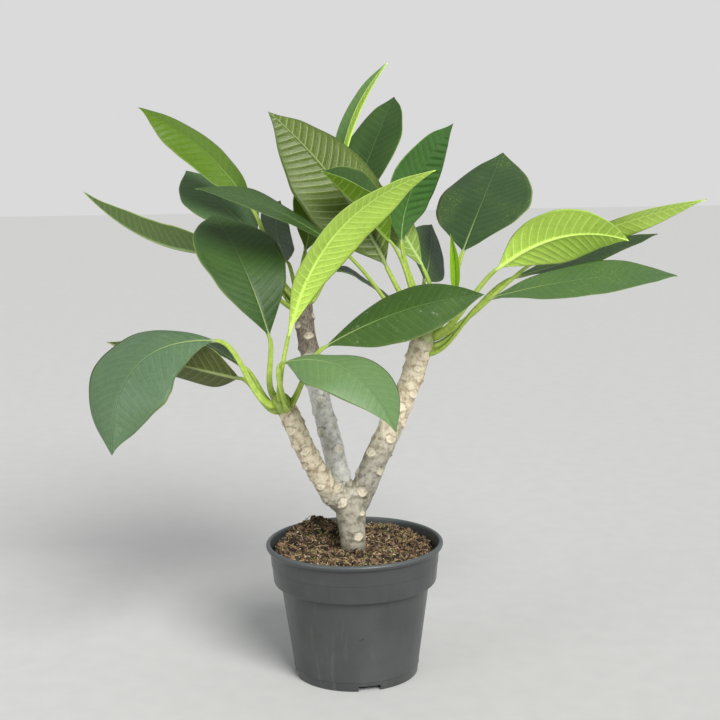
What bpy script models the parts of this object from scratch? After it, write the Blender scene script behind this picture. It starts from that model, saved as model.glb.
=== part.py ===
"""A young plumeria in a round nursery pot.

Frame: metres, +Z up, origin on the ground at the centre of the pot's base, -Y towards the viewer.
Pieces: the moulded pot, the potting mix, the woody stem with its roots and three branches (it grew as
one piece) and the leaves, each one blade with its stalk.
"""

import math

import bpy
import numpy as np

MM = 0.001
GAP = 0.3 * MM               # clearance between pieces that touch

# ---- nursery pot ----
POT_SEGMENTS = 48
RIM_RADIUS = 85.0 * MM
RIM_TOP = 129.7 * MM
LIP_HEIGHT = 4.5 * MM
COLLAR_TOP_RADIUS = 81.3 * MM
COLLAR_BOTTOM = (78.2 * MM, 92.0 * MM)      # radius, height
BODY_TOP = (71.0 * MM, 84.5 * MM)
BODY_BOTTOM = (60.4 * MM, 9.6 * MM)
FOOT_RADIUS = 59.2 * MM
FOOT_HEIGHT = 9.0 * MM
WALL = 1.4 * MM
FLOOR_LIFT = 5.0 * MM        # the floor's ring stands this far off the ground
PAD_RADIUS = 17.0 * MM       # the floor's middle comes down to the ground
DRAIN_COUNT = 8
DRAIN_RADIUS = 4.0 * MM
DRAIN_CIRCLE = 40.0 * MM
NOTCH_TURNS = (-78, 12, 102, 192)           # degrees; openings through the foot ring
NOTCH_SIZE = (21.0 * MM, 5.6 * MM)          # width, height

# ---- potting mix ----
SOIL_SEGMENTS = 36
SOIL_LEVEL = 120.0 * MM
SOIL_TILT = 4.0 * MM         # higher on the left by this much at the wall
SOIL_REACHES = (78, 72, 62, 51, 40, 29, 20, 1)      # mm, rings from the wall to the middle
SOIL_EDGE_DROP = 5.0 * MM    # the outermost ring falls away by this much
SOIL_EDGE_REACH = 72         # mm; from here out the mix stays below the rim
SOIL_EDGE_TOP = 126.0 * MM
MOUND = (-38.0 * MM, 48.0 * MM, 16.0 * MM, 24.0 * MM)    # x, y, height, spread
ROOT_CLEARANCE = 0.4 * MM    # round the trunk and the roots

# ---- woody stem: (x, y, z, radius) in millimetres from the bottom up ----
LIMB_SIDES = 14
DOME_ANGLES = (30, 55, 76)   # degrees up a growing tip, one ring at each
TIP_NECK = 12                # mm, straight stretch below a growing tip
TRUNK = ((0, 0, 58, 9), (0, 0, 90, 11.5), (-1, 0, 120, 11.8), (-2, 0, 140, 12.6), (-3, 1, 158, 14.6),
         (-3, 2, 174, 14.0), (-2, 3, 184, 9.5))
BRANCHES = {
    "left": ((-4, -1, 160, 11.0), (-21, -7, 178, 10.6), (-31, -12, 196, 10.2), (-44, -20, 223, 9.8),
             (-54, -26, 249, 9.8)),
    "middle": ((-8, 4, 166, 10.5), (-15, 9, 198, 10.6), (-21, 13, 226, 10.6), (-27, 17, 248, 10.2),
               (-35, 23, 284, 9.9), (-43, 30, 326, 9.2)),
    "right": ((2, 3, 164, 12.0), (13, 4, 188, 12.2), (23, 5, 212, 12.0), (37, 6, 240, 11.6),
              (57, 7, 287, 10.9)),
}
ROOTS = {   # turn in degrees: points as (reach, height, radius) in millimetres
    20: ((2, 72, 5), (18, 66, 4), (40, 50, 2.6), (50, 34, 1.8)),
    95: ((2, 74, 5), (20, 70, 4), (42, 58, 2.6), (54, 44, 1.8)),
    165: ((2, 70, 5), (16, 62, 4), (38, 44, 2.6), (46, 28, 1.8)),
    240: ((2, 76, 5), (20, 72, 4), (44, 62, 2.6), (56, 50, 1.8)),
    305: ((2, 68, 5), (15, 60, 4), (34, 40, 2.6), (42, 24, 1.8)),
}

# ---- leaves ----
TIPS = {    # centre of the growing tip (mm), its direction, its radius (mm)
    "left": ((-65, -32, 272), (-0.50, -0.30, 0.81), 9.5),
    "middle": ((-47, 35, 360), (-0.15, 0.12, 0.98), 9.0),
    "right": ((69, 8, 325), (0.36, 0.05, 0.93), 11.0),
}
STALK_FOOT = 3.0             # mm, radius where the stalk sits on the branch
STALK_NECK = 2.0             # mm, radius where the blade starts
BLADE_THICK = 1.2            # mm
STALK_RINGS = 5
STALK_SIDES = 8
BLADE_RINGS = 9
# branch; foot: turn (deg) and height (mm) on the tip; then, in mm, where the blade starts, its middle
# and its point; half width (mm); the way its upper side faces; fold of the right and left half (deg);
# where each half is widest (share of the length)
LEAVES = {
    "leaf_left_1": ("left", (205, 4), (-122, -45, 333), (-191, -80, 317), (-213, -98, 240),
                    44, (-0.25, -0.7, 0.65), (-7, -7), (0.6, 0.55)),
    "leaf_left_2": ("left", (180, -5), (-103, -28, 295), (-161, -18, 308), (-228, -5, 327),
                    31, (0.3, 0.75, 0.6), (7, 7), (0.35, 0.35)),
    "leaf_left_3": ("left", (150, -2), (-100, 0, 300), (-150, 25, 318), (-205, 45, 312),
                    30, (0.1, 0.2, 1.0), (10, 10), (0.5, 0.5)),
    "leaf_left_4": ("left", (120, 5), (-75, -25, 332), (-99, -2, 396), (-131, 62, 440),
                    42, (0.3, -0.65, 0.7), (6, 6), (0.5, 0.5)),
    "leaf_left_5": ("left", (300, 7), (-57, -36, 336), (-10, -75, 434), (75, -105, 487),
                    33, (-0.5, 0.55, 0.7), (-20, -20), (0.55, 0.55)),
    "leaf_left_6": ("left", (285, -4), (-61, -55, 314), (-1, -86, 310), (39, -105, 258),
                    34, (0.2, -0.5, 0.85), (-6, -6), (0.4, 0.55)),
    "leaf_left_7": ("left", (345, -4), (-24, -40, 325), (48, -46, 358), (122, -42, 371),
                    32, (-0.25, -0.65, 0.7), (-10, -14), (0.5, 0.6)),
    "leaf_middle_1": ("middle", (165, 4), (-93, 50, 446), (-141, 62, 503), (-201, 70, 543),
                      27, (0.5, -0.55, 0.67), (-12, -12), (0.4, 0.5)),
    "leaf_middle_2": ("middle", (148, -5), (-89, 60, 418), (-128, 95, 449), (-164, 130, 479),
                      36, (0.2, -0.5, 0.85), (4, 4), (0.5, 0.55)),
    "leaf_middle_3": ("middle", (182, -8), (-120, 75, 402), (-196, 95, 413), (-263, 105, 461),
                      28, (0.4, 0.2, 0.9), (40, 40), (0.35, 0.35)),
    "leaf_middle_4": ("middle", (0, 7), (-16, 47, 424), (1, 55, 511), (38, 63, 581),
                      21, (-0.92, -0.24, 0.31), (23, 23), (0.55, 0.55)),
    "leaf_middle_5": ("middle", (50, 4), (-10, 56, 419), (23, 88, 498), (46, 120, 549),
                      33, (-0.55, -0.62, 0.55), (4, 4), (0.5, 0.5)),
    "leaf_middle_6": ("middle", (90, 7), (-43, 54, 403), (-34, 68, 448), (-27, 74, 500),
                      25, (0.65, -0.75, 0.0), (-5, -5), (0.5, 0.5)),
    "leaf_middle_7": ("middle", (112, 2), (-60, 58, 393), (-72, 92, 419), (-70, 138, 447),
                      24, (0.75, -0.3, 0.6), (0, 0), (0.5, 0.5)),
    "leaf_middle_8": ("middle", (10, -4), (-14, 45, 386), (15, 50, 374), (62, 52, 333),
                      26, (0.55, 0.0, 0.8), (0, 0), (0.5, 0.5)),
    "leaf_right_1": ("right", (165, 5), (34, 12, 392), (-12, 15, 470), (-73, 8, 537),
                     42, (-0.4, 0.87, -0.28), (0, 0), (0.45, 0.4)),
    "leaf_right_2": ("right", (215, 6), (38, 2, 417), (7, -20, 453), (-23, -45, 485),
                     32, (0.78, -0.1, 0.62), (45, 45), (0.5, 0.5)),
    "leaf_right_3": ("right", (120, 8), (49, 14, 414), (61, 25, 466), (100, 45, 523),
                     30, (0.68, -0.72, -0.12), (-3, -3), (0.55, 0.5)),
    "leaf_right_4": ("right", (190, -2), (-11, -12, 414), (-79, -15, 454), (-140, -10, 469),
                     30, (0.38, -0.2, 0.9), (1, 1), (0.5, 0.5)),
    "leaf_right_5": ("right", (60, 8), (69, 29, 388), (44, 43, 432), (22, 48, 472),
                     24, (-0.65, 0.6, -0.45), (0, 0), (0.5, 0.5)),
    "leaf_right_6": ("right", (95, 0), (71, 36, 374), (79, 78, 397), (83, 130, 421),
                     27, (0.76, -0.34, 0.56), (-8, -8), (0.5, 0.5)),
    "leaf_right_7": ("right", (320, 10), (97, -4, 361), (97, -6, 394), (93, -10, 424),
                     6, (0.0, -1.0, 0.0), (40, 40), (0.4, 0.4)),
    "leaf_right_8": ("right", (45, 3), (106, 15, 404), (128, 60, 447), (155, 130, 492),
                     48, (-0.25, -0.5, 0.83), (-4, -4), (0.6, 0.5)),
    "leaf_right_9": ("right", (335, 4), (136, -8, 390), (194, -26, 421), (252, -42, 418),
                     32, (0.1, 0.8, 0.6), (2, 2), (0.5, 0.45)),
    "leaf_right_10": ("right", (10, 3), (178, 8, 398), (244, 0, 428), (327, -15, 452),
                      27, (-0.2, 0.5, 0.85), (-12, -12), (0.5, 0.5)),
    "leaf_right_11": ("right", (20, -6), (157, 30, 378), (226, 28, 397), (290, 20, 418),
                      30, (-0.3, -0.2, 0.95), (4, 4), (0.5, 0.5)),
    "leaf_right_12": ("right", (345, -12), (129, -22, 365), (212, -45, 384), (294, -55, 387),
                      32, (-0.2, -0.35, 0.92), (0, 0), (0.5, 0.5)),
}
LEAF_COLOURS = {"left": (0.05, 0.16, 0.04), "middle": (0.07, 0.20, 0.04), "right": (0.12, 0.28, 0.05)}


def clear_scene():
    for obj in list(bpy.data.objects):
        bpy.data.objects.remove(obj)


def material(name, colour, roughness):
    made = bpy.data.materials.new(name)
    made.use_nodes = True
    shader = made.node_tree.nodes["Principled BSDF"]
    shader.inputs["Base Color"].default_value = (*colour, 1)
    shader.inputs["Roughness"].default_value = roughness
    shader.inputs["Metallic"].default_value = 0.0
    return made


def unit(vector):
    vector = np.asarray(vector, float)
    return vector / np.linalg.norm(vector)


def loft(name, rings, finish=None):
    """A closed solid through equal rings of points (metres), with a flat cap at each end."""
    rings = np.asarray(rings, float)
    count, sides = rings.shape[:2]
    faces = [tuple(reversed(range(sides))), tuple((count - 1) * sides + i for i in range(sides))]
    for ring in range(count - 1):
        for side in range(sides):
            after = (side + 1) % sides
            faces.append((ring * sides + side, ring * sides + after,
                          (ring + 1) * sides + after, (ring + 1) * sides + side))
    mesh = bpy.data.meshes.new(name)
    mesh.from_pydata([tuple(point) for point in rings.reshape(-1, 3)], [], faces)
    mesh.shade_smooth()
    mesh.set_sharp_from_angle(angle=math.radians(35))
    obj = bpy.data.objects.new(name, mesh)
    bpy.context.scene.collection.objects.link(obj)
    if finish:
        mesh.materials.append(finish)
    return obj


def helper(obj):
    obj.hide_render = True
    obj.display_type = "WIRE"
    return obj


def boolean(obj, other, operation):
    modifier = obj.modifiers.new(other.name, "BOOLEAN")
    modifier.operation = operation
    modifier.object = other


def turned(name, profile, segments, finish=None):
    """The solid that a profile of (radius, height), running out along its underside, turns out."""
    turns = [2 * math.pi * i / segments for i in range(segments)]
    rings = [[(r * math.cos(a), r * math.sin(a), z) for a in turns] for r, z in profile]
    return loft(name, rings, finish)


def limb_rings(points, swell=0.0, dome=None):
    """Rings round a path of (x, y, z, radius) in metres, with a dome heading the given way on top."""
    points = np.asarray(points, float)
    path, radii = points[:, :3].copy(), points[:, 3] + swell
    heading = np.gradient(path, axis=0)
    path[0] -= swell * unit(heading[0])
    path[-1] += swell * unit(heading[-1])
    if dome is not None:
        heading[-1] = dome
    rows = [(path[i], heading[i], radii[i]) for i in range(len(path))]
    if dome is not None:
        for angle in DOME_ANGLES:
            lift = unit(heading[-1]) * radii[-1] * math.sin(math.radians(angle))
            rows.append((path[-1] + lift, heading[-1], radii[-1] * math.cos(math.radians(angle))))
    rings = []
    for centre, way, radius in rows:
        way = unit(way)
        across = unit(np.cross((0, 1, 0), way))
        along = np.cross(way, across)
        turns = [2 * math.pi * i / LIMB_SIDES for i in range(LIMB_SIDES)]
        rings.append([centre + radius * (math.cos(a) * across + math.sin(a) * along) for a in turns])
    return rings


def in_metres(points):
    return [tuple(value * MM for value in point) for point in points]


def root_points(turn):
    c, s = math.cos(math.radians(turn)), math.sin(math.radians(turn))
    return [(reach * c * MM, reach * s * MM, z * MM, r * MM) for reach, z, r in ROOTS[turn]]


def make_pot():
    lip = RIM_TOP - LIP_HEIGHT
    pad_top = WALL
    floor_top = FLOOR_LIFT + WALL
    profile = [
        (1.0 * MM, 0), (PAD_RADIUS + 1.0 * MM, 0), (PAD_RADIUS + 4.0 * MM, FLOOR_LIFT),
        (FOOT_RADIUS - WALL, FLOOR_LIFT), (FOOT_RADIUS - WALL, 0), (FOOT_RADIUS, 0),
        (BODY_BOTTOM[0] - 0.2 * MM, FOOT_HEIGHT - 0.8 * MM), (BODY_BOTTOM[0] + 0.3 * MM, FOOT_HEIGHT),
        BODY_BOTTOM, BODY_TOP, COLLAR_BOTTOM, (COLLAR_TOP_RADIUS, lip), (RIM_RADIUS - 0.8 * MM, lip),
        (RIM_RADIUS, lip + 1.1 * MM), (RIM_RADIUS, RIM_TOP - 1.3 * MM),
        (RIM_RADIUS - 0.9 * MM, RIM_TOP - 0.2 * MM), (RIM_RADIUS - 2.0 * MM, RIM_TOP),
        (RIM_RADIUS - 3.4 * MM, RIM_TOP - 0.5 * MM), (COLLAR_TOP_RADIUS - WALL, lip - 1.0 * MM),
        (COLLAR_BOTTOM[0] - WALL, COLLAR_BOTTOM[1] + 0.8 * MM), (BODY_TOP[0] - WALL, BODY_TOP[1] + 0.6 * MM),
        (BODY_BOTTOM[0] - WALL, BODY_BOTTOM[1]), (BODY_BOTTOM[0] - WALL - 0.9 * MM, floor_top),
        (PAD_RADIUS + 3.0 * MM, floor_top), (PAD_RADIUS, pad_top), (1.0 * MM, pad_top),
    ]
    pot = turned("nursery_pot", profile, POT_SEGMENTS, material("grey moulded plastic", (0.05, 0.06, 0.07), 0.42))
    for index in range(DRAIN_COUNT):
        turn = 2 * math.pi * (index + 0.5) / DRAIN_COUNT
        drill = turned(f"drain_cutter_{index}", [(DRAIN_RADIUS, FLOOR_LIFT - 3 * MM),
                                                 (DRAIN_RADIUS, floor_top + 3 * MM)], 12)
        drill.location = (DRAIN_CIRCLE * math.cos(turn), DRAIN_CIRCLE * math.sin(turn), 0)
        boolean(pot, helper(drill), "DIFFERENCE")
    width, height = NOTCH_SIZE
    for index, turn in enumerate(NOTCH_TURNS):
        corners = [(-4 * MM, -width / 2), (4 * MM, -width / 2), (4 * MM, width / 2), (-4 * MM, width / 2)]
        rings = [[(x, y, z) for x, y in corners] for z in (-2 * MM, min(height, FLOOR_LIFT - 0.2 * MM))]
        cutter = loft(f"notch_cutter_{index}", rings)
        angle = math.radians(turn)
        cutter.location = (FOOT_RADIUS * math.cos(angle), FOOT_RADIUS * math.sin(angle), 0)
        cutter.rotation_euler = (0, 0, angle)
        boolean(pot, helper(cutter), "DIFFERENCE")


def soil_height(x, y):
    wave = 1.6 * math.sin(x / (9 * MM) + 1.0) * math.cos(y / (11 * MM) - 0.6)
    wave += 0.9 * math.sin((x + 2 * y) / (6 * MM))
    mound_x, mound_y, rise, spread = MOUND
    mound = rise * math.exp(-((x - mound_x) ** 2 + (y - mound_y) ** 2) / spread ** 2)
    return SOIL_LEVEL - SOIL_TILT * x / RIM_RADIUS + wave * MM + mound


def make_soil():
    wall = WALL + GAP
    floor_top = FLOOR_LIFT + WALL + GAP
    below = [(1.0 * MM, WALL + GAP), (PAD_RADIUS - 0.4 * MM, WALL + GAP), (PAD_RADIUS + 2.6 * MM, floor_top),
             (BODY_BOTTOM[0] - wall - 1.2 * MM, floor_top), (BODY_BOTTOM[0] - wall - 0.2 * MM, BODY_BOTTOM[1]),
             (BODY_TOP[0] - wall - 0.1 * MM, BODY_TOP[1] + 0.8 * MM),
             (COLLAR_BOTTOM[0] - wall - 0.1 * MM, COLLAR_BOTTOM[1] + 1.2 * MM)]
    turns = [2 * math.pi * i / SOIL_SEGMENTS for i in range(SOIL_SEGMENTS)]
    rings = [[(r * math.cos(a), r * math.sin(a), z) for a in turns] for r, z in below]
    for reach in SOIL_REACHES:
        ring = []
        for a in turns:
            x, y = reach * MM * math.cos(a), reach * MM * math.sin(a)
            z = soil_height(x, y)
            if reach == SOIL_REACHES[0]:
                z -= SOIL_EDGE_DROP
            if reach >= SOIL_EDGE_REACH:
                z = min(z, SOIL_EDGE_TOP)
            ring.append((x, y, z))
        rings.append(ring)
    soil = loft("potting_mix", rings, material("peat and coir mix", (0.05, 0.03, 0.02), 0.95))
    boolean(soil, helper(loft("trunk_hollow", limb_rings(in_metres(TRUNK), ROOT_CLEARANCE))), "DIFFERENCE")
    for turn in ROOTS:
        hollow = loft(f"root_hollow_{turn}", limb_rings(root_points(turn), ROOT_CLEARANCE))
        boolean(soil, helper(hollow), "DIFFERENCE")


def make_stem():
    stem = loft("woody_stem", limb_rings(in_metres(TRUNK)), material("grey bark", (0.28, 0.26, 0.19), 0.7))
    for name, points in BRANCHES.items():
        centre, way, radius = TIPS[name]
        neck = np.array(centre) - TIP_NECK * unit(way)
        points = [*points, (*neck, radius), (*centre, radius)]
        boolean(stem, helper(loft(f"{name}_branch", limb_rings(in_metres(points), dome=way))), "UNION")
    for turn in ROOTS:
        boolean(stem, helper(loft(f"root_{turn}", limb_rings(root_points(turn)))), "UNION")


def foot_of(branch, turn, height):
    """Where a stalk sits on its branch tip, the way it leaves, and the tip's own direction."""
    centre, way, radius = TIPS[branch]
    way = unit(way)
    flat = np.array([math.cos(math.radians(turn)), math.sin(math.radians(turn)), 0.0])
    out = unit(flat - flat.dot(way) * way)
    base = np.array(centre, float) + way * min(height, 0)
    if height > 0:
        out = unit(out * math.sqrt(radius ** 2 - height ** 2) + way * height)
    return base + out * (radius + GAP / MM + 0.05), out, way


def half_width(share, widest):
    """Outline of half a blade: 0 at its start, 1 where it is widest, 0 at its point."""
    if share < widest:
        return (1 - ((widest - share) / widest) ** 2.1) ** 1.25
    return 1 - ((share - widest) / (1 - widest)) ** 1.8


def leaf_path(branch, foot, start, middle, point):
    """Points along the stalk, then along the blade, with the first heading, in mm."""
    origin, out, way = foot_of(branch, *foot)
    start, middle, point = (np.array(p, float) for p in (start, middle, point))
    bend = 2 * middle - (start + point) / 2
    reach = 0.9 * np.linalg.norm(start - origin)
    leave, arrive = unit(out + 0.5 * way) * reach, unit(bend - start) * reach
    s = np.linspace(0, 1, STALK_RINGS)[:, None]
    stalk = ((2 * s ** 3 - 3 * s ** 2 + 1) * origin + (s ** 3 - 2 * s ** 2 + s) * leave
             + (3 * s ** 2 - 2 * s ** 3) * start + (s ** 3 - s ** 2) * arrive)
    t = np.linspace(0, 1, BLADE_RINGS + 1)[1:, None]
    blade = (1 - t) ** 2 * start + 2 * t * (1 - t) * bend + t ** 2 * point
    return stalk, blade, t[:, 0], out


def make_leaf(name, finish, branch, foot, start, middle, point, width, facing, folds, widest):
    stalk, blade, shares, out = leaf_path(branch, foot, start, middle, point)
    path = np.vstack([stalk, blade])
    heading = np.gradient(path, axis=0)
    heading[0] = out
    rings = []
    for index, centre in enumerate(path):
        along = unit(heading[index])
        up = unit(np.array(facing) - np.dot(facing, along) * along)
        side = np.cross(along, up)
        if index < STALK_RINGS:
            radius = STALK_FOOT + (STALK_NECK - STALK_FOOT) * min(1, 1.6 * index / (STALK_RINGS - 1))
            turns = [2 * math.pi * i / STALK_SIDES for i in range(STALK_SIDES)]
            ring = [centre + radius * (math.cos(a) * side + math.sin(a) * up) for a in turns]
        else:
            share = shares[index - STALK_RINGS]
            right, left = (max(width * half_width(share, place), 0.5) for place in widest)
            tilt_right, tilt_left = (math.radians(fold) for fold in folds)
            to_right = math.cos(tilt_right) * side + math.sin(tilt_right) * up
            to_left = -math.cos(tilt_left) * side + math.sin(tilt_left) * up
            thick = 0.5 * BLADE_THICK * min(1, right / 4) * up + 0.15 * up
            rib = (0.3 + 0.9 * STALK_NECK * (1 - share)) * up
            ring = [centre + right * to_right, centre + 0.5 * right * to_right + thick, centre + thick,
                    centre + 0.5 * left * to_left + thick, centre + left * to_left,
                    centre + 0.5 * left * to_left - thick, centre - rib,
                    centre + 0.5 * right * to_right - thick]
        rings.append([corner * MM for corner in reversed(ring)])
    return loft(name, rings, finish)


clear_scene()
make_pot()
make_soil()
make_stem()
for leaf_name, row in LEAVES.items():
    make_leaf(leaf_name, material(leaf_name, LEAF_COLOURS[row[0]], 0.4), *row)
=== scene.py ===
"""The finish of a young plumeria in its nursery pot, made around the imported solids, in metres.

The sections follow the plant as a grower would put it together: the pot, the potting mix with its
crumbs and fibres, the woody stem, the leaves of each branch, and then the place it is shown in.
"""

import math

import bpy
import numpy as np
from mathutils import Matrix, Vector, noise
from mathutils.kdtree import KDTree


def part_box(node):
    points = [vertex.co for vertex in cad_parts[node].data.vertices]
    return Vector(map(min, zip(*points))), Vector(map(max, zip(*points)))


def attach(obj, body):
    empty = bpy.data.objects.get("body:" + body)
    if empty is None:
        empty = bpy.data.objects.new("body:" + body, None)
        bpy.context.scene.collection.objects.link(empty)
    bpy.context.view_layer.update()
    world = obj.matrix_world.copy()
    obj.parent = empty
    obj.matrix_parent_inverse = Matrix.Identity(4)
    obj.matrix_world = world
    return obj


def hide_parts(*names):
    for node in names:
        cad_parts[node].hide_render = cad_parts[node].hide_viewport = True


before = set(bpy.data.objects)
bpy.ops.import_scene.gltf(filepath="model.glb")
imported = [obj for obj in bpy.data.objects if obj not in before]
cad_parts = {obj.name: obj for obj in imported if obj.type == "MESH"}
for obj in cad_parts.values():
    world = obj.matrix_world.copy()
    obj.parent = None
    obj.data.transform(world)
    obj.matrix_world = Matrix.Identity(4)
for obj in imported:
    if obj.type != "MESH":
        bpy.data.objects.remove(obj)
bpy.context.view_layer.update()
MM = 0.001


# ---- Nursery pot ----
# One thin injection moulding of dark grey polypropylene: a tapered body, a deep collar with a fine line
# round it, a rolled rim and a low foot ring with openings. The skin is satin, with dust and small scuffs,
# and a highlight painted along the lip.

POT_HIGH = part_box("nursery_pot")[1]
POT_RADIUS = POT_HIGH.x / MM         # mm, over the rim
POT_HEIGHT = POT_HIGH.z / MM         # mm
POT_SEGMENTS = 192
POT_WALL = 1.4                       # mm
FOOT_RADIUS = 59.2                   # mm, middle of the foot ring
FOOT_NOTCH = (8.0, 21.0, 4.8)        # mm, depth, width and height of an opening in the foot ring
FOOT_TURNS = (-78, 12, 102, 192)     # degrees
DRAIN_HOLES = (8, 40.0, 4.0)         # how many, on what radius, and their own radius, in mm
FLOOR_DRILL = (2.0, 9.0)             # mm, heights between which the floor is drilled
SHARP_ANGLE = 32                     # degrees, where a moulded edge stays crisp


def add(tree, kind, inputs=None, **settings):
    """A node with its settings made and its inputs linked or filled."""
    made = tree.nodes.new(kind)
    for name, value in settings.items():
        setattr(made, name, value)
    for key, value in (inputs or {}).items():
        if isinstance(value, bpy.types.NodeSocket):
            tree.links.new(value, made.inputs[key])
        else:
            made.inputs[key].default_value = value
    return made


def new_material(name):
    """A material with an empty tree, and that tree."""
    made = bpy.data.materials.new(name)
    made.use_nodes = True
    made.node_tree.nodes.clear()
    return made, made.node_tree


def finish_material(tree, **inputs):
    """The Principled shader with its inputs, joined to the output."""
    named = {key.replace("_", " "): value for key, value in inputs.items()}
    shader = add(tree, "ShaderNodeBsdfPrincipled", named)
    add(tree, "ShaderNodeOutputMaterial", {"Surface": shader.outputs[0]})


def math_node(tree, operation, *values):
    return add(tree, "ShaderNodeMath", dict(enumerate(values)), operation=operation).outputs[0]


def times(tree, *values):
    return math_node(tree, "MULTIPLY", *values)


def band(tree, value, low, high, start=0.0, end=1.0):
    """Value mapped smoothly from low..high to start..end, and held there past both."""
    return add(tree, "ShaderNodeMapRange", {0: value, 1: low, 2: high, 3: start, 4: end},
               interpolation_type="SMOOTHSTEP").outputs[0]


def colour_or_socket(value):
    return value if isinstance(value, bpy.types.NodeSocket) else (*value, 1)


def blend_colours(tree, share, first, second, **settings):
    """The first colour with a share of the second over it; either is a socket or (red, green, blue)."""
    return add(tree, "ShaderNodeMix", {0: share, 6: colour_or_socket(first), 7: colour_or_socket(second)},
               data_type="RGBA", **settings).outputs[2]


def layered(tree, base, *layers):
    """The base colour with (share, colour) layers laid over it in turn."""
    for share, colour in layers:
        base = blend_colours(tree, share, base, colour)
    return base


def object_place(tree):
    return add(tree, "ShaderNodeTexCoord").outputs["Object"]


def height_in(tree, place):
    return add(tree, "ShaderNodeSeparateXYZ", {0: place}).outputs[2]


def bumped(tree, relief, strength, distance):
    """The surface normal with the relief on it; the distance is in metres."""
    return add(tree, "ShaderNodeBump", {"Strength": strength, "Distance": distance,
                                        "Height": relief}).outputs[0]


def noise_at(tree, vector, scale, detail=4.0, roughness=0.55):
    return add(tree, "ShaderNodeTexNoise", {"Vector": vector, "Scale": scale, "Detail": detail,
                                            "Roughness": roughness}).outputs[0]


def stretched(tree, vector, scale):
    return add(tree, "ShaderNodeMapping", {"Vector": vector, "Scale": scale}).outputs[0]


def rounded(corners, steps=5):
    """A line through (radius, height, fillet) corners, in mm, each turned into a soft curve that wide."""
    points = []
    for i, (r, z, fillet) in enumerate(corners):
        here = np.array((r, z))
        if fillet == 0:
            points.append(here)
            continue
        before, after = np.array(corners[i - 1][:2]), np.array(corners[i + 1][:2])
        start = here + fillet * (before - here) / np.linalg.norm(before - here)
        end = here + fillet * (after - here) / np.linalg.norm(after - here)
        for s in np.linspace(0, 1, steps):
            points.append((1 - s) ** 2 * start + 2 * s * (1 - s) * here + s ** 2 * end)
    return points


def ring_faces(count, sides):
    """Faces between a number of equal rings, with a cap at each end."""
    faces = [tuple(reversed(range(sides))), tuple((count - 1) * sides + i for i in range(sides))]
    for ring in range(count - 1):
        for side in range(sides):
            after = (side + 1) % sides
            faces.append((ring * sides + side, ring * sides + after,
                          (ring + 1) * sides + after, (ring + 1) * sides + side))
    return faces


def new_object(name, data):
    obj = bpy.data.objects.new(name, data)
    bpy.context.scene.collection.objects.link(obj)
    return obj


def new_piece(name, points, faces):
    mesh = bpy.data.meshes.new(name)
    mesh.from_pydata([tuple(point) for point in points], [], faces)
    mesh.shade_smooth()
    return new_object(name, mesh)


def whole_turn(count):
    """Evenly spaced angles once round, in radians."""
    return np.linspace(0, 2 * math.pi, count, endpoint=False)


def turned_points(profile, segments):
    """Points in metres where a (radius, height) profile in mm is turned round the z axis."""
    return [(r * math.cos(a) * MM, r * math.sin(a) * MM, z * MM)
            for r, z in profile for a in whole_turn(segments)]


def turned(name, profile, segments):
    """The solid that a profile in mm, running out along its underside, turns out."""
    return new_piece(name, turned_points(profile, segments), ring_faces(len(profile), segments))


def settle(obj):
    """Replaces the object's mesh by what its modifiers make of it."""
    graph = bpy.context.evaluated_depsgraph_get()
    mesh = bpy.data.meshes.new_from_object(obj.evaluated_get(graph))
    obj.modifiers.clear()
    obj.data = mesh


def cut(obj, cutters):
    for cutter in cutters:
        modifier = obj.modifiers.new("cut", "BOOLEAN")
        modifier.operation = "DIFFERENCE"
        modifier.object = cutter
    settle(obj)
    for cutter in cutters:
        bpy.data.objects.remove(cutter)


def grey_plastic():
    material, tree = new_material("satin grey polypropylene")
    place = object_place(tree)
    cloud = noise_at(tree, place, 22.0)
    streaks = noise_at(tree, stretched(tree, place, (60, 60, 7)), 2.2, 5.0, 0.6)
    scuffs = noise_at(tree, stretched(tree, place, (14, 14, 240)), 3.0, 3.0, 0.7)
    height = height_in(tree, place)
    dust = times(tree, band(tree, streaks, 0.52, 0.78), band(tree, height, 0.11, 0.0, 0.12, 0.5))
    # painted highlight: the lip above 126 mm is lightened towards a pale blue-grey
    painted_lip_highlight = band(tree, height, 0.1262, 0.1286, 0.0, 0.5)
    specks = add(tree, "ShaderNodeTexVoronoi", {"Vector": place, "Scale": 95.0}).outputs["Distance"]
    sparse = band(tree, noise_at(tree, place, 30.0, 2.0), 0.6, 0.66)
    shade = layered(tree, (0.045, 0.05, 0.05),
                    (band(tree, cloud, 0.3, 0.7), (0.06, 0.066, 0.066)),
                    (dust, (0.15, 0.14, 0.12)),
                    (band(tree, scuffs, 0.66, 0.8, 0.0, 0.22), (0.2, 0.2, 0.19)),
                    (painted_lip_highlight, (0.13, 0.15, 0.158)),
                    (times(tree, band(tree, specks, 0.13, 0.07), sparse), (0.03, 0.022, 0.015)))
    grain = noise_at(tree, place, 1400.0, 2.0)
    lift = math_node(tree, "ADD", times(tree, grain, 0.35), scuffs)
    finish_material(tree, Base_Color=shade, Roughness=band(tree, streaks, 0.3, 0.8, 0.3, 0.46),
                    Normal=bumped(tree, lift, 0.16, 0.0004))
    return material


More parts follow.
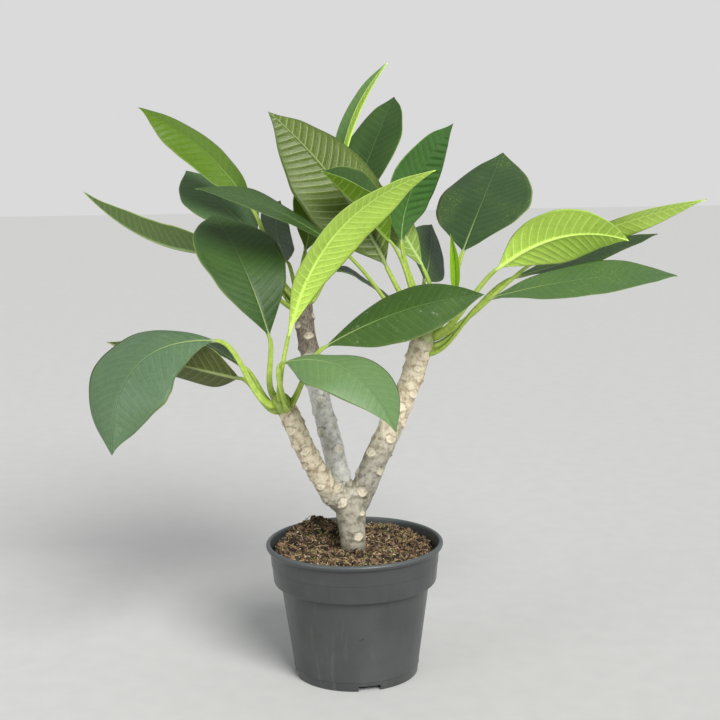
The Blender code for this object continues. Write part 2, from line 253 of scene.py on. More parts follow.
def make_pot():
    rim, wall = POT_RADIUS, POT_WALL
    outside = [(60.0, 8.0, 0), (60.9, 8.9, 0.3), (60.5, 9.9, 0), (71.6, 90.6, 0.5), (77.8, 91.4, 0.5),
               (78.4, 93.2, 0), (79.75, 108.6, 0), (80.2, 109.0, 0), (80.2, 109.6, 0), (81.2, 124.2, 0.6),
               (rim - 1.0, 124.4, 0.5), (rim, 126.0, 0.9), (rim, POT_HEIGHT - 1.5, 0.9),
               (rim - 1.8, POT_HEIGHT, 0.9)]
    inside = [(rim - 3.8, POT_HEIGHT - 0.5, 0.9), (rim - 5.1, 122.4, 0.6), (78.3 - wall, 94.8, 1.0),
              (71.4 - wall, 93.4, 1.0), (60.4 - wall, 10.5, 0), (57.6, 6.4, 1.5), (20.0, 6.4, 1.0),
              (17.0, 1.4, 1.0), (0.5, 1.4, 0)]
    underside = [(0.5, 0, 0), (17.8, 0, 0.6), (21.0, 5.0, 0.8), (57.8, 5.0, 0.6), (57.9, 0.2, 0),
                 (58.3, 0, 0), (59.3, 0, 0), (59.5, 0.5, 0)]
    pot = turned("nursery_pot_shell", rounded(underside + outside + inside), POT_SEGMENTS)
    cutters = []
    count, ring, radius = DRAIN_HOLES
    for turn in np.arange(count) * 2 * math.pi / count + math.pi / count:
        drill = turned("drill", [(radius, height) for height in FLOOR_DRILL], 32)
        drill.location = (ring * math.cos(turn) * MM, ring * math.sin(turn) * MM, 0)
        cutters.append(drill)
    depth, width, height = FOOT_NOTCH
    for turn in np.radians(FOOT_TURNS):
        corners = [(x * depth / 2 * MM, y * width / 2 * MM, z * MM) for z in (-2, height)
                   for x, y in ((-1, -1), (1, -1), (1, 1), (-1, 1))]
        block = new_piece("block", corners, ring_faces(2, 4))
        block.matrix_world = Matrix.Rotation(turn, 4, "Z") @ Matrix.Translation((FOOT_RADIUS * MM, 0, 0))
        cutters.append(block)
    bpy.context.view_layer.update()
    cut(pot, cutters)
    pot.data.materials.clear()
    pot.data.materials.append(grey_plastic())
    pot.data.set_sharp_from_angle(angle=math.radians(SHARP_ANGLE))
    return pot


pot_shell = make_pot()
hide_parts("nursery_pot")
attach(pot_shell, "root")


# ---- Potting mix ----
# Dark peat with coir fibre, a little bark and some moss, filled by hand to just under the rim and banked
# against the back wall. The bed is one lumpy body, and loose crumbs, fibres and flecks lie all over it.

BED_RADIUS = 77.6        # mm, at the surface
BED_LEVEL = 119.5        # mm
BED_TILT = 4.0           # mm, higher on the left
MOUND = (-38.0, 48.0, 15.0, 24.0)            # mm: across, back, height, spread
BACK_RISE = 7.0          # mm, higher at the back right
FULL_SPIN = 6.28         # radians, the most a strewn bit is turned
BED_RINGS = 64
BED_SEGMENTS = 240


def smooth(value, low, high):
    """0 below low, 1 above high, and a soft step between them."""
    s = np.clip((value - low) / (high - low), 0, 1)
    return s * s * (3 - 2 * s)


def bed_height(x, y):
    wave = 1.6 * math.sin(x / 9 + 1.0) * math.cos(y / 11 - 0.6) + 0.9 * math.sin((x + 2 * y) / 6)
    mound_x, mound_y, rise, spread = MOUND
    mound = rise * math.exp(-((x - mound_x) ** 2 + (y - mound_y) ** 2) / spread ** 2)
    clods = 4.2 * noise.fractal((x / 9, y / 9, 3.0), 0.7, 2.1, 4)
    clods += BACK_RISE * smooth(y, 0, 60) * smooth(x, -10, 30)
    wall = 3.0 * max(0.0, (math.hypot(x, y) - 71) / 7)
    return BED_LEVEL - BED_TILT * x / POT_RADIUS + wave + mound + clods - wall


def make_bed():
    below = [(0.5, 1.8), (16.5, 1.8), (19.6, 6.9), (57.3, 6.9), (58.5, 10), (69.2, 92.6), (69.4, 94.2),
             (76.1, 95.8), (78.2, 110)]
    points = turned_points(below, BED_SEGMENTS)
    for reach in BED_RADIUS * np.linspace(1, 0.01, BED_RINGS):
        for a in whole_turn(BED_SEGMENTS):
            x, y = reach * math.cos(a), reach * math.sin(a)
            points.append((x * MM, y * MM, bed_height(x, y) * MM))
    bed = new_piece("potting_mix_bed", points, ring_faces(len(below) + BED_RINGS, BED_SEGMENTS))
    top = bed.data.attributes.new("top", "BOOLEAN", "FACE")
    first = 2 + (len(below) + 1) * BED_SEGMENTS
    top.data.foreach_set("value", [i >= first for i in range(len(bed.data.polygons))])
    return bed


def peat():
    material, tree = new_material("moist peat")
    place = object_place(tree)
    coarse = noise_at(tree, place, 160.0, 6.0, 0.65)
    fine = noise_at(tree, place, 900.0, 5.0, 0.7)
    shade = layered(tree, (0.012, 0.008, 0.006),
                    (band(tree, coarse, 0.35, 0.68), (0.075, 0.045, 0.028)),
                    (band(tree, fine, 0.58, 0.72, 0.0, 0.7), (0.2, 0.13, 0.075)))
    lift = math_node(tree, "ADD", coarse, fine)
    finish_material(tree, Base_Color=shade, Roughness=band(tree, fine, 0.3, 0.7, 0.75, 0.98),
                    Normal=bumped(tree, lift, 0.9, 0.0016))
    return material


def mask(tree, name):
    """What the mesh stores under the name."""
    return add(tree, "ShaderNodeAttribute", attribute_name=name).outputs["Fac"]


def litter(name, stops):
    """Loose matter in the colours of the given (place, colour) stops, picked for each bit by its own tone."""
    material, tree = new_material(name)
    place = object_place(tree)
    ramp = add(tree, "ShaderNodeValToRGB", {0: mask(tree, "tone")})
    for index, (at, colour) in enumerate(stops):
        stop = ramp.color_ramp.elements[index] if index < 2 else ramp.color_ramp.elements.new(at)
        stop.position = at
        stop.color = (*colour, 1)
    speckle = noise_at(tree, place, 1300.0, 4.0, 0.7)
    darker = add(tree, "ShaderNodeHueSaturation", {"Value": 0.45, "Color": ramp.outputs[0]}).outputs[0]
    shade = blend_colours(tree, band(tree, speckle, 0.35, 0.62), darker, ramp.outputs[0])
    finish_material(tree, Base_Color=shade, Roughness=band(tree, speckle, 0.3, 0.7, 0.7, 0.95),
                    Normal=bumped(tree, speckle, 0.6, 0.0004))
    return material


def scatter_tree(name, tones, shape, squash, bend):
    """Bits strewn over the bed's top: crumbs (shape "lump") or strands (shape "strand").

    squash: how flat a lump is, or how steeply a strand may stand (radians).
    bend: how fine (1/m) and how far (m) the bits are bent out of their plain shape.
    """
    material = litter(name, tones)
    tree = bpy.data.node_groups.new(name, "GeometryNodeTree")
    face = tree.interface
    face.new_socket("Bed", in_out="INPUT", socket_type="NodeSocketGeometry")
    for label, kind in (("Per square metre", "Float"), ("Smallest", "Float"), ("Largest", "Float"),
                        ("Thickness", "Float"), ("Rise", "Float"), ("Patchiness", "Float"), ("Seed", "Int")):
        face.new_socket(label, in_out="INPUT", socket_type=f"NodeSocket{kind}")
    face.new_socket("Bits", in_out="OUTPUT", socket_type="NodeSocketGeometry")
    given = add(tree, "NodeGroupInput").outputs
    top = add(tree, "GeometryNodeInputNamedAttribute", {0: "top"}, data_type="BOOLEAN").outputs[0]
    patches = add(tree, "ShaderNodeTexNoise", {"Scale": 48.0, "Detail": 3.0}).outputs[0]
    patch = band(tree, patches, 0.46, 0.6, -1.0, 1.4)
    amount = math_node(tree, "MULTIPLY_ADD", patch, given["Patchiness"], 1.0)
    amount = times(tree, amount, given["Per square metre"])
    strewn = add(tree, "GeometryNodeDistributePointsOnFaces",
                 {"Mesh": given["Bed"], "Selection": top, "Density": amount, "Seed": given["Seed"]})

    def scaled(vector, length):
        return add(tree, "ShaderNodeVectorMath", {0: vector, "Scale": length}, operation="SCALE").outputs[0]

    def shifted(bits, offset):
        return add(tree, "GeometryNodeSetPosition", {"Geometry": bits, "Offset": offset}).outputs[0]

    def random(kind, low, high, shift):
        seed = add(tree, "ShaderNodeMath", {0: given["Seed"], 1: shift}, operation="ADD").outputs[0]
        slots = {"FLOAT_VECTOR": (0, 1, 0), "FLOAT": (2, 3, 1)}[kind]
        return add(tree, "FunctionNodeRandomValue", {slots[0]: low, slots[1]: high, 8: seed},
                   data_type=kind).outputs[slots[2]]

    lifted = shifted(strewn.outputs[0], scaled((0, 0, 1), given["Rise"]))
    size = random("FLOAT", given["Smallest"], given["Largest"], 1)
    if shape == "lump":
        bit = add(tree, "GeometryNodeMeshIcoSphere", {"Radius": 1.0, "Subdivisions": 1}).outputs[0]
        spin = random("FLOAT_VECTOR", (0, 0, 0), (FULL_SPIN, FULL_SPIN, FULL_SPIN), 2)
        squat = random("FLOAT_VECTOR", (0.6, 0.6, squash), (1.3, 1.0, squash * 1.6), 3)
    else:
        line = add(tree, "GeometryNodeCurvePrimitiveLine", {"Start": (-0.5, 0, 0), "End": (0.5, 0, 0)})
        bit = add(tree, "GeometryNodeResampleCurve", {"Curve": line.outputs[0], "Count": 7}).outputs[0]
        spin = random("FLOAT_VECTOR", (-squash, -squash, 0), (squash, squash, FULL_SPIN), 2)
        squat = random("FLOAT_VECTOR", (1, 1, 1), (1, 1, 1), 3)
    bits = add(tree, "GeometryNodeInstanceOnPoints",
               {"Points": lifted, "Instance": bit, "Rotation": spin, "Scale": scaled(squat, size)}).outputs[0]
    toned = add(tree, "GeometryNodeStoreNamedAttribute",
                {"Geometry": bits, "Name": "tone", "Value": random("FLOAT", 0.0, 1.0, 4)},
                data_type="FLOAT", domain="INSTANCE").outputs[0]
    real = add(tree, "GeometryNodeRealizeInstances", {0: toned}).outputs[0]
    wander = add(tree, "ShaderNodeTexNoise", {"Scale": bend[0], "Detail": 2.0}).outputs[1]
    centred = add(tree, "ShaderNodeVectorMath", {0: wander, 1: (0.5, 0.5, 0.5)}, operation="SUBTRACT")
    shaped = shifted(real, scaled(centred.outputs[0], bend[1]))
    if shape == "strand":
        round_wire = add(tree, "GeometryNodeCurvePrimitiveCircle",
                         {"Resolution": 4, "Radius": given["Thickness"]})
        shaped = add(tree, "GeometryNodeCurveToMesh",
                     {"Curve": shaped, "Profile Curve": round_wire.outputs[0], "Fill Caps": True}).outputs[0]
    done = add(tree, "GeometryNodeSetMaterial", {"Geometry": shaped, "Material": material}).outputs[0]
    add(tree, "NodeGroupOutput", {0: done})
    return tree


def strew(name, bed, tree, **amounts):
    """A plain mesh of what the tree strews over the bed."""
    obj = new_object(name, bed.data.copy())
    obj.data.materials.clear()
    modifier = obj.modifiers.new("strewn", "NODES")
    modifier.node_group = tree
    for item in tree.interface.items_tree:
        label = item.name.replace(" ", "_").lower()
        if item.in_out == "INPUT" and label in amounts:
            modifier[item.identifier] = amounts[label]
    bpy.context.view_layer.update()
    settle(obj)
    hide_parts("potting_mix")
    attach(obj, "root")


bed = make_bed()
bed.data.materials.append(peat())
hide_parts("potting_mix")
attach(bed, "root")

# place on the ramp, then the colour there
PEAT_TONES = ((0.0, (0.03, 0.019, 0.012)), (0.4, (0.1, 0.062, 0.036)), (0.75, (0.23, 0.145, 0.085)),
              (0.93, (0.38, 0.25, 0.15)), (1.0, (0.52, 0.36, 0.22)))
CLOD_TONES = ((0.0, (0.014, 0.009, 0.007)), (0.5, (0.055, 0.032, 0.02)), (0.85, (0.17, 0.095, 0.06)),
              (1.0, (0.36, 0.22, 0.13)))
COIR_TONES = ((0.0, (0.14, 0.075, 0.035)), (0.5, (0.36, 0.22, 0.11)), (0.85, (0.55, 0.39, 0.2)),
              (1.0, (0.78, 0.62, 0.36)))
MOSS_TONES = ((0.0, (0.045, 0.06, 0.015)), (0.5, (0.16, 0.18, 0.04)), (0.9, (0.42, 0.42, 0.12)),
              (1.0, (0.75, 0.72, 0.35)))
FLECK_TONES = ((0.0, (0.45, 0.34, 0.2)), (0.6, (0.65, 0.53, 0.36)), (1.0, (0.85, 0.78, 0.6)))

crumbs = scatter_tree("peat crumbs", PEAT_TONES, "lump", 0.6, (260.0, 0.0022))
clods = scatter_tree("peat clods", CLOD_TONES, "lump", 0.7, (210.0, 0.0045))
fibres = scatter_tree("coir fibres", COIR_TONES, "strand", 0.55, (120.0, 0.006))
moss = scatter_tree("moss strands", MOSS_TONES, "strand", 1.0, (260.0, 0.004))
flecks = scatter_tree("bark flecks", FLECK_TONES, "lump", 0.3, (300.0, 0.0016))

strew("peat_crumbs", bed, crumbs, per_square_metre=90000, smallest=0.0006, largest=0.0024,
      rise=0.0006, seed=3)
strew("peat_clods", bed, clods, per_square_metre=9000, smallest=0.0016, largest=0.0036,
      rise=0.0003, patchiness=0.6, seed=5)
strew("coir_fibres", bed, fibres, per_square_metre=48000, smallest=0.0025, largest=0.0085,
      thickness=0.00036, rise=0.0018, seed=11)
strew("moss_strands", bed, moss, per_square_metre=26000, smallest=0.0012, largest=0.0038,
      thickness=0.00042, rise=0.002, patchiness=0.8, seed=23)
strew("bark_flecks", bed, flecks, per_square_metre=14000, smallest=0.0006, largest=0.0016,
      rise=0.0014, seed=31)


# ---- Woody stem ----
# A short trunk that forks into three branches, all grown as one. Pale bark, silvery on the middle branch and
# lightened there as painted sheen, and tan on the left one, is studded with round cream scars where old
# leaves fell, their cream stronger on the lower half as a painted highlight; the tips are still green.

STEM_VOXEL = 0.84     # mm
TRUNK = ((0, 0, 58, 9.5), (0, 0, 90, 11.5), (-1, 0, 120, 12.0), (-2, 0, 140, 12.8), (-3, 1, 158, 14.4),
         (-3, 2, 174, 13.6), (-2, 3, 182, 9.5))
BRANCHES = {
    "left": ((-4, -1, 160, 11.0), (-21, -7, 178, 10.4), (-31, -12, 196, 9.8), (-44, -20, 223, 9.5),
             (-54, -26, 249, 9.4)),
    "middle": ((-8, 4, 166, 10.5), (-15, 9, 198, 10.4), (-21, 13, 226, 10.4), (-27, 17, 248, 10.0),
               (-35, 23, 284, 9.7), (-43, 30, 326, 9.0)),
    "right": ((2, 3, 164, 12.0), (13, 4, 188, 12.0), (23, 5, 212, 11.8), (37, 6, 240, 11.3),
              (57, 7, 287, 10.6)),
}
TIPS = {    # centre of the growing tip (mm), its direction, its radius (mm)
    "left": ((-65, -32, 272), (-0.50, -0.30, 0.81), 9.5),
    "middle": ((-47, 35, 360), (-0.15, 0.12, 0.98), 9.0),
    "right": ((69, 8, 325), (0.36, 0.05, 0.93), 11.0),
}
ROOT = ((2, 72, 5), (18, 65, 4), (38, 50, 2.6), (48, 34, 1.8))    # mm: reach, height, radius
ROOT_TURNS = (20, 95, 165, 240, 305)                              # degrees
# limb, place along it (mm), turn (deg), radius (mm)
TRUNK_SCARS = (("trunk", 79.0, -62.0, 5.2), ("trunk", 100.0, -40.0, 3.6), ("trunk", 112.0, -150.0, 4.6),
               ("trunk", 90.0, 140.0, 4.4), ("trunk", 106.0, 60.0, 4.6))
SCAR_SPACING = {"left": (5.6, 4.2), "middle": (13.0, 5.0), "right": (8.5, 3.8)}     # mm: low, high
FIRST_SCAR_TURN = {"left": -75.0, "middle": -100.0, "right": -95.0}                 # degrees
FIRST_SCAR = 16.0        # mm along the branch
BARE_TIP = 9.0           # mm without a scar below the tip
GOLDEN_TURN = 137.5      # degrees from one leaf to the next
SCAR_WANDER = 22         # degrees, how far a scar may sit from its turn
SCAR_RADIUS = (5.4, 0.9, 2.2)                # mm: low on the branch, how much less at the tip, and chance
NECK = 12.0              # mm, the straight length under a tip
YOUNG_COLLAR = {"left": (14, 9), "middle": (14, 8), "right": (14, 8)}   # mm from the tip: none, all green
# mm, heights over which the bark turns tan, turns silvery with painted sheen, stops being so, and turns rough
TAN_FROM = {"left": (168, 196), "right": (200, 262)}
SILVER_SHEEN_FROM, SILVER_SHEEN_TO = (176, 196), (312, 292)
ROUGH_FROM = (296, 318)


def unit(vector):
    vector = np.asarray(vector, float)
    return vector / np.linalg.norm(vector)


def eased(points, step=2.0):
    """Points (x, y, z, radius) along a smooth curve through the given ones, about one step apart."""
    points = np.asarray(points, float)
    ends = np.vstack([2 * points[0] - points[1], points, 2 * points[-1] - points[-2]])
    out = []
    for a, b, c, d in zip(ends, ends[1:], ends[2:], ends[3:]):
        count = max(2, int(np.linalg.norm(c[:3] - b[:3]) / step))
        for s in np.linspace(0, 1, count, endpoint=False):
            out.append(0.5 * (2 * b + (c - a) * s + (2 * a - 5 * b + 4 * c - d) * s ** 2
                              + (3 * b - a - 3 * c + d) * s ** 3))
    return np.array([*out, points[-1]])


def limb(points, dome=None, sides=28):
    """Points and faces of a round limb along (x, y, z, radius) points in mm."""
    heading = np.gradient(points[:, :3], axis=0)
    rows = [(points[i, :3], heading[i], points[i, 3]) for i in range(len(points))]
    if dome is not None:
        end, radius = points[-1, :3], points[-1, 3]
        for angle in (20, 40, 58, 74, 86):
            rise, shrink = math.sin(math.radians(angle)), math.cos(math.radians(angle))
            rows.append((end + unit(dome) * radius * rise, np.array(dome), radius * shrink))
    out = []
    for centre, way, radius in rows:
        way = unit(way)
        across = unit(np.cross((0, 1, 0), way))
        along = np.cross(way, across)
        out += [(centre + radius * (math.cos(a) * across + math.sin(a) * along)) * MM
                for a in whole_turn(sides)]
    return out, ring_faces(len(rows), sides)


def stem_lines():
    """The centre lines of the trunk, the branches and the roots, in mm, with the way each dome faces."""
    lines = {"trunk": (eased(TRUNK), None)}
    for name, points in BRANCHES.items():
        centre, way, radius = TIPS[name]
        neck = np.array(centre) - NECK * unit(way)
        lines[name] = (eased([*points, (*neck, radius), (*centre, radius)]), way)
    for turn in ROOT_TURNS:
        c, s = math.cos(math.radians(turn)), math.sin(math.radians(turn))
        root = [(reach * c, reach * s, z, r) for reach, z, r in ROOT]
        lines[f"root_{turn}"] = (eased(root), (c, s, -1))
    return lines


def scar_list(lines):
    """Every leaf scar as (limb, place along it in mm, turn in degrees, radius in mm)."""
    scars = list(TRUNK_SCARS)
    biggest, less, chance = SCAR_RADIUS
    for name, (low, high) in SCAR_SPACING.items():
        line = lines[name][0]
        length = np.linalg.norm(np.diff(line[:, :3], axis=0), axis=1).sum()
        place, turn = FIRST_SCAR, FIRST_SCAR_TURN[name]
        index = 0
        while place < length - BARE_TIP:
            wobble = noise.noise((index * 3.7, place, 1.0))
            size = biggest - less * place / length + chance * noise.noise((place, index * 1.3, 7.0))
            scars.append((name, place, turn + SCAR_WANDER * wobble, size))
            share = place / length
            place += low + (high - low) * share
            turn += GOLDEN_TURN
            index += 1
    return scars


def limb_frames(line):
    """Distance along the line, and at each point the heading and the directions across it."""
    steps = np.linalg.norm(np.diff(line[:, :3], axis=0), axis=1)
    distance = np.concatenate([[0], np.cumsum(steps)])
    heading = np.gradient(line[:, :3], axis=0)
    heading /= np.linalg.norm(heading, axis=1)[:, None]
    across = np.cross((0, 1, 0), heading)
    across /= np.linalg.norm(across, axis=1)[:, None]
    return distance, heading, across, np.cross(heading, across)


def vertex_values(mesh, label):
    values = np.empty(len(mesh.vertices) * 3)
    mesh.vertices.foreach_get(label, values)
    return values.reshape(-1, 3)


def store(mesh, label, values):
    mesh.attributes.new(label, "FLOAT", "POINT").data.foreach_set("value", values)


def shape_bark(stem, lines):
    """Raises the scars and the bark's lumps, and stores where scars, young bark, tan bark and the middle
    branch's silver bark lightened as painted sheen are; each scar's share is stronger on its lower
    half as a painted highlight.
    """
    mesh = stem.data
    count = len(mesh.vertices)
    points = vertex_values(mesh, "co") / MM
    normals = vertex_values(mesh, "normal")
    lift = np.array([0.42 * noise.fractal(tuple(p / 7), 0.9, 2.0, 3) + 0.16 * noise.noise(tuple(p / 1.9))
                     for p in points])
    scar, rim, crescent = np.zeros(count), np.zeros(count), np.zeros(count)
    tree = KDTree(count)
    for i, p in enumerate(points):
        tree.insert(p, i)
    tree.balance()
    for name, place, turn, radius in scar_list(lines):
        line = lines[name][0]
        distance, heading, across, along = limb_frames(line)
        at = int(np.argmin(abs(distance - place)))
        a = math.radians(turn)
        out = math.cos(a) * across[at] + math.sin(a) * along[at]
        spot = line[at, :3] + out * line[at, 3]
        side = np.cross(out, heading[at])
        near = np.array([i for _, i, _ in tree.find_range(spot, radius * 2.6)], int)
        if len(near) == 0:
            continue
        near = near[normals[near] @ out > 0.05]
        gap = points[near] - spot
        u, v = gap @ side / radius, gap @ heading[at] / (radius * 0.78)
        ragged = np.array([0.34 * noise.noise(tuple(p / 3.4)) + 0.16 * noise.noise(tuple(p / 1.3))
                           for p in points[near]])
        reach = np.hypot(u, v - 0.12 * u * u) + ragged
        cushion = np.exp(-(np.hypot(u, v + 0.55) / 1.15) ** 2)
        lift[near] += 1.7 * cushion * smooth(reach, 1.9, 0.9) - 0.5 * smooth(reach, 0.95, 0.7)
        lift[near] += 0.2 * np.exp(-((reach - 0.98) / 0.2) ** 2) * smooth(v, 0.5, -0.4)
        bundles = np.exp(-((np.hypot(u, v - 0.12) - 0.46) / 0.1) ** 2) * smooth(v, 0.25, -0.1)
        lift[near] -= 0.07 * bundles
        crescent[near] = np.maximum(crescent[near], bundles)
        fade = 0.75 + 0.5 * noise.noise((place, turn, 4.0))
        # painted highlight: each scar's cream share is made stronger on its lower half
        lit = 0.5 + 0.5 * smooth(v, 0.35, -0.5)
        scar[near] = np.maximum(scar[near], fade * lit * smooth(reach, 1.1, 0.78))
        rim[near] = np.maximum(rim[near], np.exp(-((reach - 1.08) / 0.12) ** 2) * smooth(v, -0.2, 0.5))
    young = sum(smooth(np.linalg.norm(points - np.array(tip[0]), axis=1), *YOUNG_COLLAR[name])
                for name, tip in TIPS.items())
    owner, best = np.zeros(count, int), np.full(count, 1e9)
    for index, name in enumerate(("trunk", "left", "middle", "right")):
        line = lines[name][0][::3, :3]
        gap = np.min([np.linalg.norm(points - q, axis=1) for q in line], axis=0)
        owner[gap < best] = index
        best = np.minimum(gap, best)
    height = points[:, 2]
    tan = np.choose(owner, (0.25, 0.25 + 0.75 * smooth(height, *TAN_FROM["left"]), 0.1,
                            0.15 + 0.85 * smooth(height, *TAN_FROM["right"])))
    on_middle = owner == 2
    rough = np.where(on_middle, smooth(height, *ROUGH_FROM), 0.0)
    # silver bark on the middle branch, which the bark shader also lightens as painted sheen
    silver_and_sheen = np.where(on_middle, smooth(height, *SILVER_SHEEN_TO) * smooth(height, *SILVER_SHEEN_FROM), 0.0)
    points += normals * lift[:, None]
    mesh.vertices.foreach_set("co", (points * MM).reshape(-1))
    maps = {"scar": scar, "scar_rim": rim, "crescent": crescent, "young": np.clip(young, 0, 1), "tan": tan,
            "rough_bark": rough, "silver_and_sheen": silver_and_sheen}
    for label, values in maps.items():
        store(mesh, label, values)
    mesh.update()


def cell_edges(tree, vector, scale):
    """How far a point is from the edge of its cell, in a pattern of small irregular cells."""
    return add(tree, "ShaderNodeTexVoronoi", {"Vector": vector, "Scale": scale},
               feature="DISTANCE_TO_EDGE").outputs[0]


def bark():
    material, tree = new_material("plumeria bark")
    place = object_place(tree)
    cloud = noise_at(tree, place, 55.0, 5.0, 0.6)
    patch = noise_at(tree, place, 150.0, 5.0, 0.65)
    fine = noise_at(tree, stretched(tree, place, (1, 1, 0.45)), 620.0, 5.0, 0.7)
    tan, silver_and_sheen = mask(tree, "tan"), mask(tree, "silver_and_sheen")
    silver = layered(tree, (0.11, 0.105, 0.085),
                     (band(tree, patch, 0.3, 0.62), (0.37, 0.355, 0.3)),
                     (band(tree, cloud, 0.5, 0.66, 0.0, 0.6), (0.19, 0.2, 0.13)))
    buff = blend_colours(tree, band(tree, patch, 0.3, 0.6), (0.34, 0.26, 0.155), (0.78, 0.7, 0.52))
    # painted sheen: the middle branch's silver bark colour is made lighter here
    bright = blend_colours(tree, band(tree, patch, 0.32, 0.6), (0.4, 0.39, 0.35), (0.72, 0.72, 0.68))
    brown = blend_colours(tree, band(tree, fine, 0.4, 0.62), (0.06, 0.042, 0.028), (0.24, 0.195, 0.14))
    green = blend_colours(tree, band(tree, patch, 0.4, 0.6), (0.2, 0.3, 0.05), (0.36, 0.47, 0.1))
    cream = blend_colours(tree, band(tree, fine, 0.45, 0.7), (0.85, 0.78, 0.6), (0.56, 0.45, 0.28))
    height = height_in(tree, place)
    soiled = times(tree, band(tree, height, 0.131, 0.119), band(tree, patch, 0.3, 0.6, 0.35, 0.9))
    shade = layered(tree, silver,
                    (tan, buff),
                    (silver_and_sheen, bright),
                    (times(tree, mask(tree, "rough_bark"), 0.85), brown),
                    (times(tree, band(tree, fine, 0.58, 0.72), 0.4), (0.15, 0.11, 0.065)),
                    (band(tree, mask(tree, "young"), 0.15, 0.75), green),
                    # the scar share carries the painted highlight on each scar's lower half
                    (times(tree, mask(tree, "scar"), 0.92), cream),
                    (times(tree, mask(tree, "crescent"), 0.4), (0.3, 0.22, 0.13)),
                    (times(tree, mask(tree, "scar_rim"), 0.7), (0.12, 0.085, 0.05)),
                    (soiled, (0.06, 0.045, 0.03)))
    cracks = cell_edges(tree, stretched(tree, place, (1, 1, 0.5)), 420.0)
    lift = math_node(tree, "ADD", times(tree, band(tree, cracks, 0.0, 0.2), 0.5), fine)
    gloss = math_node(tree, "SUBTRACT", band(tree, tan, 0.0, 1.0, 0.38, 0.55), times(tree, silver_and_sheen, 0.16))
    gloss = math_node(tree, "ADD", gloss, band(tree, fine, 0.3, 0.7, -0.06, 0.12))
    finish_material(tree, Base_Color=shade, Roughness=gloss, Normal=bumped(tree, lift, 0.42, 0.0006),
                    Coat_Weight=times(tree, silver_and_sheen, 0.7), Coat_Roughness=0.22)
    return material


def make_stem():
    lines = stem_lines()
    points, faces = [], []
    for line, dome in lines.values():
        more, rings = limb(line, dome)
        faces += [tuple(i + len(points) for i in face) for face in rings]
        points += more
    stem = new_piece("woody_stem_bark", points, faces)
    weld = stem.modifiers.new("grown together", "REMESH")
    weld.mode = "VOXEL"
    weld.voxel_size = STEM_VOXEL * MM
    ease = stem.modifiers.new("eased forks", "SMOOTH")
    ease.factor = 0.5
    ease.iterations = 9
    settle(stem)
    shape_bark(stem, lines)
    stem.data.materials.clear()
    stem.data.materials.append(bark())
    stem.data.shade_smooth()
    return stem


stem = make_stem()
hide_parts("woody_stem")
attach(stem, "root")


# ---- Leaves of the left branch ----
# Each leaf is a long blade on a fleshy stalk that clasps the tip: leathery and satin above, paler and matt
# below, with a stout midrib, straight side veins that end in one line just inside the edge, and soft swells.

STALK_ROWS = 26
BLADE_ROWS = 120
HALF_COLUMNS = 24
VEIN_SPACING = 8.0       # mm along the midrib
VEIN_SLANT, VEIN_BEND = 0.45, 0.006          # how far a side vein runs on, per mm and per mm squared
VEIN_STAGGER = 0.45      # share of the spacing between the veins of the two halves
MARGIN_WAVE = 0.045      # share of the width
STALK = (4.3, 2.9, 2.0)  # mm, radius where it clasps the tip, above that, and at the blade
BLADE_THICK = 0.75       # mm beside the midrib
# mm, how far the leaf swells between its side veins; the others swell by the usual amount
USUAL_PUCKER = 0.1
PUCKER = {"leaf_right_3": 0.5, "leaf_right_1": 0.2, "leaf_middle_1": 0.2, "leaf_right_9": 0.18}
DEEP_GREEN = (0.034, 0.075, 0.024)
DARK_GREEN = (0.036, 0.088, 0.018)
# leaf_left_1's upper colour: a grey green tinted bluish as painted sheen
SHEEN_GREEN = (0.08, 0.155, 0.06)
SHEEN_GREY_GREEN = (0.09, 0.16, 0.085)
GLOSSY_GREEN = (0.045, 0.135, 0.024)
MID_GREEN = (0.04, 0.092, 0.016)
# leaf_left_6's upper colour: a green made paler and bluer as painted sheen
SHEEN_LIGHT_GREEN = (0.135, 0.235, 0.095)
FRESH_GREEN = (0.15, 0.3, 0.08)
YOUNG_GREEN = (0.088, 0.175, 0.004)
OLIVE = (0.065, 0.085, 0.006)
DULL_GREEN = (0.1, 0.17, 0.045)
MOSSY_GREEN = (0.068, 0.108, 0.008)
SOFT_GREEN = (0.2, 0.31, 0.05)
PALE_GREEN = (0.36, 0.52, 0.1)
SUNLIT_GREEN = (0.22, 0.42, 0.005)
LIME = (0.5, 0.74, 0.1)
# a lime underside made brighter as painted light shining through the blade
LIME_WITH_PAINTED_GLOW = (0.62, 0.9, 0.13)
